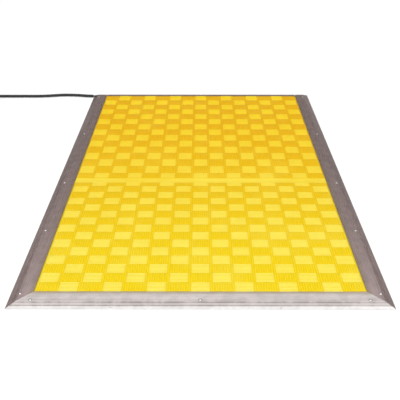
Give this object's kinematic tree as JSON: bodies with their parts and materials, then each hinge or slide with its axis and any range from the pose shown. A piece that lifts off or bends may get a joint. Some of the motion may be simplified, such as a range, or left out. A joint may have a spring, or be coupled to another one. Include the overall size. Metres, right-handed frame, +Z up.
{
  "type": "safety mat",
  "caption": "Pressure-sensitive floor mat: ribbed yellow contact panels side by side in a mitred ramp trim, with a cable that reports a step on it.",
  "frame": {"origin": "on the floor, under the middle of the ramp trim's outline", "axes": "+X to the right, +Y from the short front panel to the rear panel, +Z up from the floor"},
  "size_m": [1.756, 1.8524, 0.0424],
  "materials": {
    "tread_vinyl": "moulded ribbed vinyl, safety yellow",
    "base_vinyl": "plain black vinyl sheet",
    "plate_steel": "bright sheet steel",
    "strip_foam": "insulating foam strip",
    "trim_aluminium": "extruded, worn along its length",
    "rail_aluminium": "mill finish extrusion",
    "screw_steel": "plated, bright where worn",
    "boot_rubber": "moulded black rubber",
    "cable_jacket": "smooth black cable jacket",
    "tie_plastic": "black moulded plastic",
    "core_insulation": "white core insulation",
    "ferrule_metal": "tinned ferrule"
  },
  "bodies": {
    "root": {"rear_tread_cover": "tread_vinyl", "rear_upper_plate": "plate_steel", "rear_insulating_strips": "strip_foam", "rear_lower_plate": "plate_steel", "rear_base_cover": "base_vinyl", "front_tread_cover": "tread_vinyl", "front_upper_plate": "plate_steel", "front_insulating_strips": "strip_foam", "front_lower_plate": "plate_steel", "front_base_cover": "base_vinyl", "left_ramp_cover": "trim_aluminium", "right_ramp_cover": "trim_aluminium", "front_ramp_cover": "trim_aluminium", "rear_ramp_cover": "trim_aluminium", "left_base_rail": "rail_aluminium", "right_base_rail": "rail_aluminium", "front_base_rail": "rail_aluminium", "rear_base_rail": "rail_aluminium", "trim_screws": "screw_steel", "lead_boot": "boot_rubber", "lead_cores_inside": "core_insulation", "rear_link_boot": "boot_rubber", "front_link_boot": "boot_rubber", "link_lead": "cable_jacket", "link_cores": "core_insulation", "cable": "cable_jacket", "cable_guard": "cable_jacket", "cable_coil": "cable_jacket", "coil_tie": "tie_plastic", "cable_tail": "cable_jacket", "cable_end_sleeve": "tie_plastic", "cable_end_cores": "core_insulation", "cable_end_ferrules": "ferrule_metal"}
  },
  "joints": []
}
